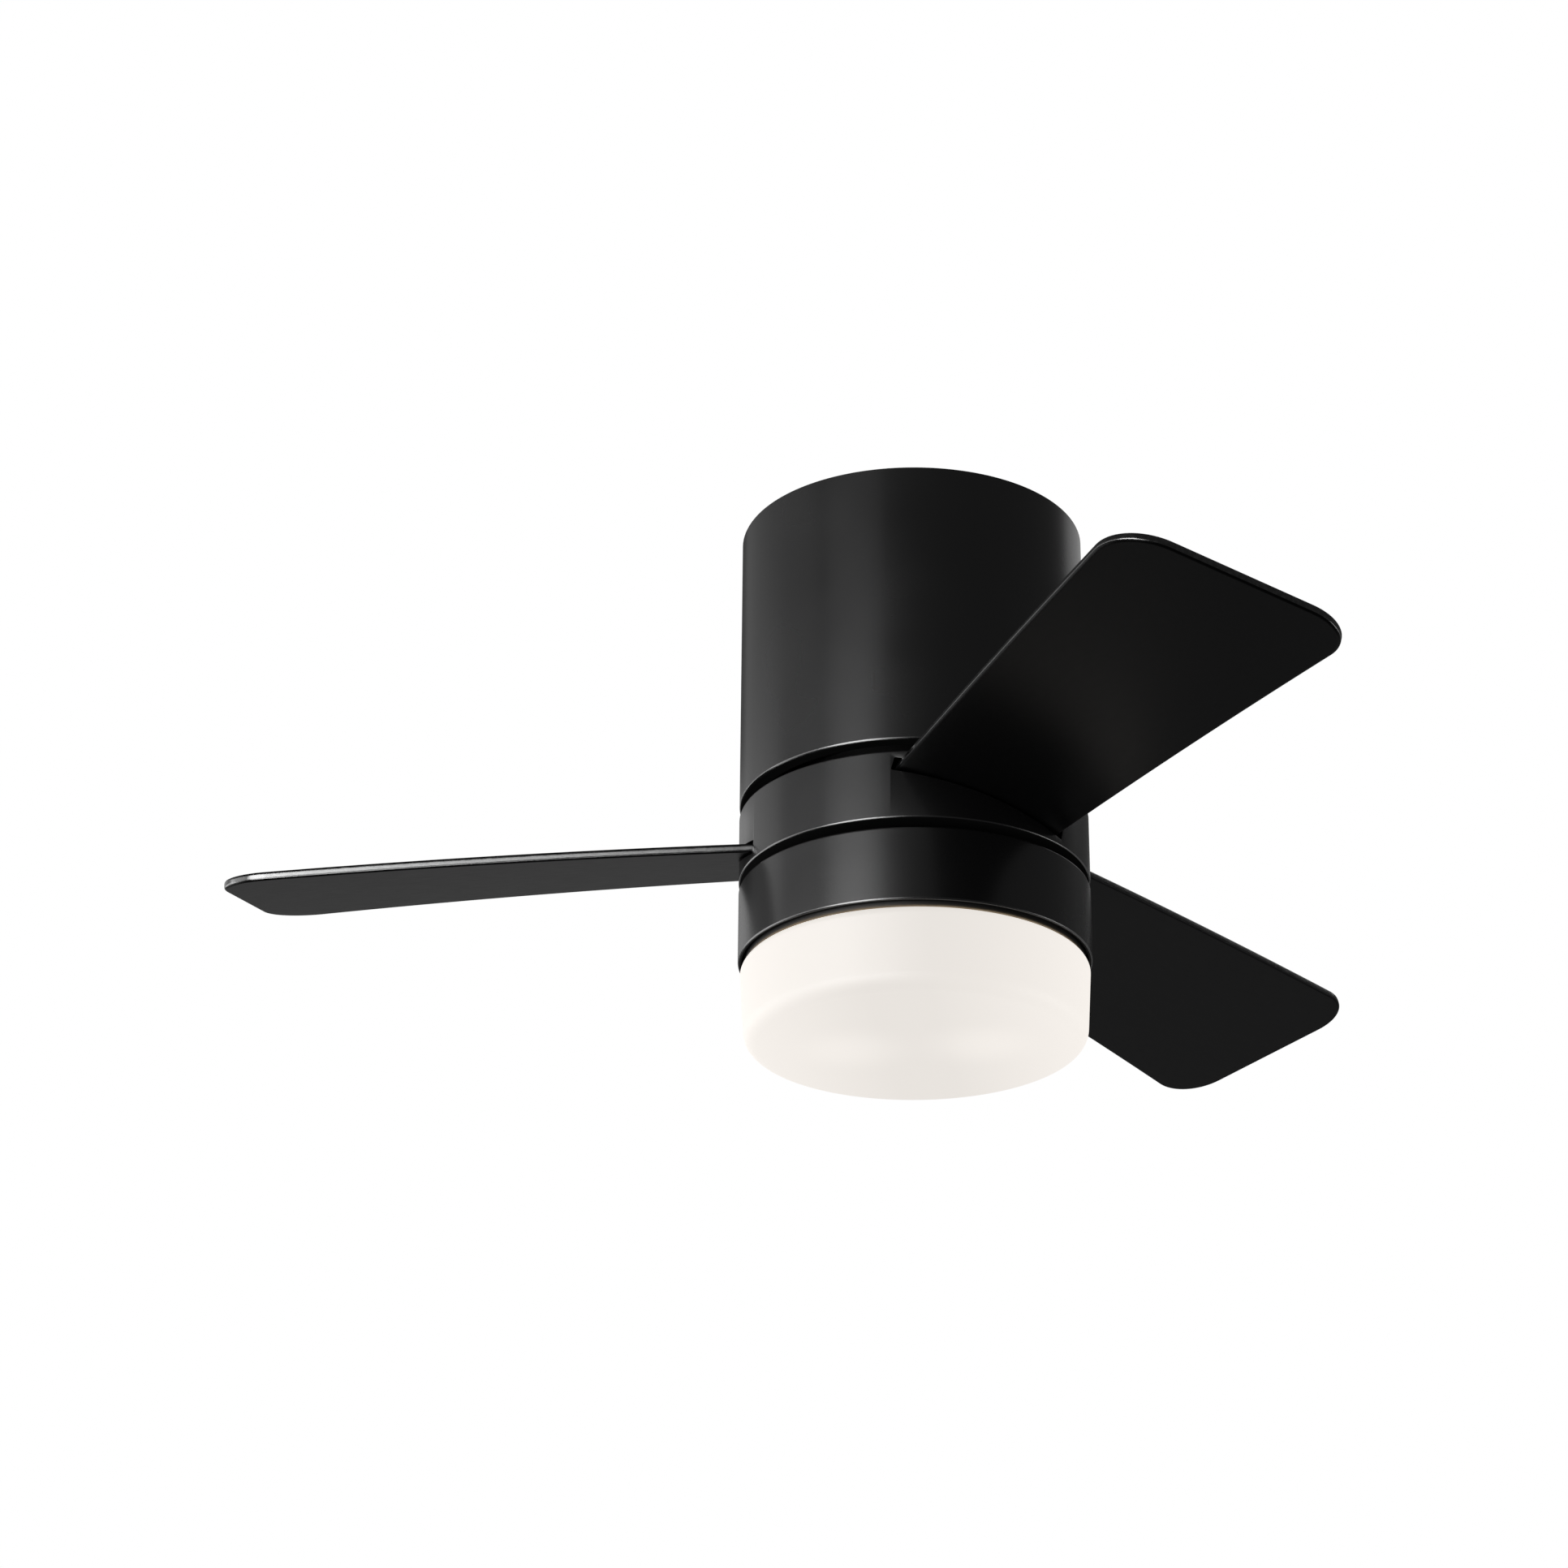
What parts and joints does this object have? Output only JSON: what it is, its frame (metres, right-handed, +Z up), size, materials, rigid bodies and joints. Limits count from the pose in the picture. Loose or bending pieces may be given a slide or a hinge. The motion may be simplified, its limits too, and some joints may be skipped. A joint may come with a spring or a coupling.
{
  "type": "ceiling fan with light",
  "caption": "Low-profile ceiling fan: a black drum housing with pitched flat blades set in a turning ring, over a drum light with an opal glass shade.",
  "frame": {"origin": "middle of the ceiling plane, on the fan's axis, where the ceiling plate meets the ceiling", "axes": "+Z up along the fan's axis into the ceiling, -X along the first blade, -Y towards the viewer of the picture"},
  "size_m": [0.7746, 0.8825, 0.383],
  "materials": {
    "shell_black": "satin black powder coat over spun steel",
    "blade_black": "satin black paint over pressed board",
    "opal_glass": "frosted white opal",
    "collar_brown": "dark brown moulded",
    "zinc_steel": "zinc-plated",
    "shaft_steel": "ground",
    "bearing_steel": "polished",
    "motor_enamel": "black enamel over die-cast aluminium",
    "laminated_steel": "varnished stack",
    "copper_winding": "varnished enamel wire",
    "black_screw": "black oxide",
    "porcelain": "glazed",
    "lamp_diffuser": "frosted",
    "lamp_plastic": "satin white",
    "grey_plastic": "moulded",
    "black_plastic": "moulded",
    "wire_sleeve": "matt sleeve"
  },
  "bodies": {
    "root": {"upper_housing": "shell_black", "light_fitter": "shell_black", "ceiling_plate": "zinc_steel", "hanger_yoke": "zinc_steel", "yoke_screw_1": "zinc_steel", "yoke_screw_2": "zinc_steel", "shaft_nut_top": "zinc_steel", "shaft_nut_bottom": "zinc_steel", "fitter_nut_top": "zinc_steel", "fitter_nut_bottom": "zinc_steel", "socket_bracket": "zinc_steel", "motor_shaft": "shaft_steel", "upper_bearing_inner": "bearing_steel", "lower_bearing_inner": "bearing_steel", "stator_core": "laminated_steel", "winding_top": "copper_winding", "winding_bottom": "copper_winding", "housing_screw_1": "black_screw", "housing_screw_2": "black_screw", "socket_1": "porcelain", "socket_2": "porcelain", "bulb_1": "lamp_diffuser", "bulb_2": "lamp_diffuser", "bulb_1_base": "lamp_plastic", "bulb_2_base": "lamp_plastic", "run_capacitor": "grey_plastic", "reverse_switch": "grey_plastic", "remote_receiver": "black_plastic", "lamp_lead": "wire_sleeve", "socket_jumper": "wire_sleeve"},
    "rotor": {"rotor_top_bell": "motor_enamel", "rotor_bottom_bell": "motor_enamel", "rotor_ring": "laminated_steel", "upper_bearing_outer": "bearing_steel", "lower_bearing_outer": "bearing_steel", "blade_carrier": "motor_enamel", "hub_ring": "shell_black", "blade_iron_1": "motor_enamel", "blade_iron_2": "motor_enamel", "blade_iron_3": "motor_enamel", "blade_1": "blade_black", "blade_2": "blade_black", "blade_3": "blade_black", "iron_screw_1": "zinc_steel", "iron_screw_2": "zinc_steel", "iron_screw_3": "zinc_steel", "iron_screw_4": "zinc_steel", "iron_screw_5": "zinc_steel", "iron_screw_6": "zinc_steel", "blade_screw_1": "black_screw", "blade_screw_2": "black_screw", "blade_screw_3": "black_screw", "blade_screw_4": "black_screw", "blade_screw_5": "black_screw", "blade_screw_6": "black_screw"},
    "upper_balls": {"upper_bearing_balls": "bearing_steel"},
    "lower_balls": {"lower_bearing_balls": "bearing_steel"},
    "shade": {"shade_collar": "collar_brown", "glass_shade": "opal_glass"},
    "switch_knob": {"reverse_switch_knob": "black_plastic"}
  },
  "joints": [
    {"name": "fan_spin", "type": "hinge", "parent": "root", "child": "rotor", "pos_m": [0, 0, -0.2404], "axis": [0, 0, 1], "continuous": true},
    {"name": "upper_balls_spin", "type": "hinge", "parent": "root", "child": "upper_balls", "pos_m": [0, 0, -0.124], "axis": [0, 0, 1], "continuous": true},
    {"name": "lower_balls_spin", "type": "hinge", "parent": "root", "child": "lower_balls", "pos_m": [0, 0, -0.19], "axis": [0, 0, 1], "continuous": true},
    {"name": "shade_twist", "type": "hinge", "parent": "root", "child": "shade", "pos_m": [0, 0, -0.3125], "axis": [0, 0, -1], "range_deg": [0, 20]},
    {"name": "reverse_slide", "type": "slide", "parent": "root", "child": "switch_knob", "axis": [1, 0, 0], "range_m": [0, 0.006]}
  ],
  "couplings": [
    {"joint": "upper_balls_spin", "follows": "fan_spin", "ratio": 0.5927},
    {"joint": "lower_balls_spin", "follows": "fan_spin", "ratio": 0.5927}
  ]
}
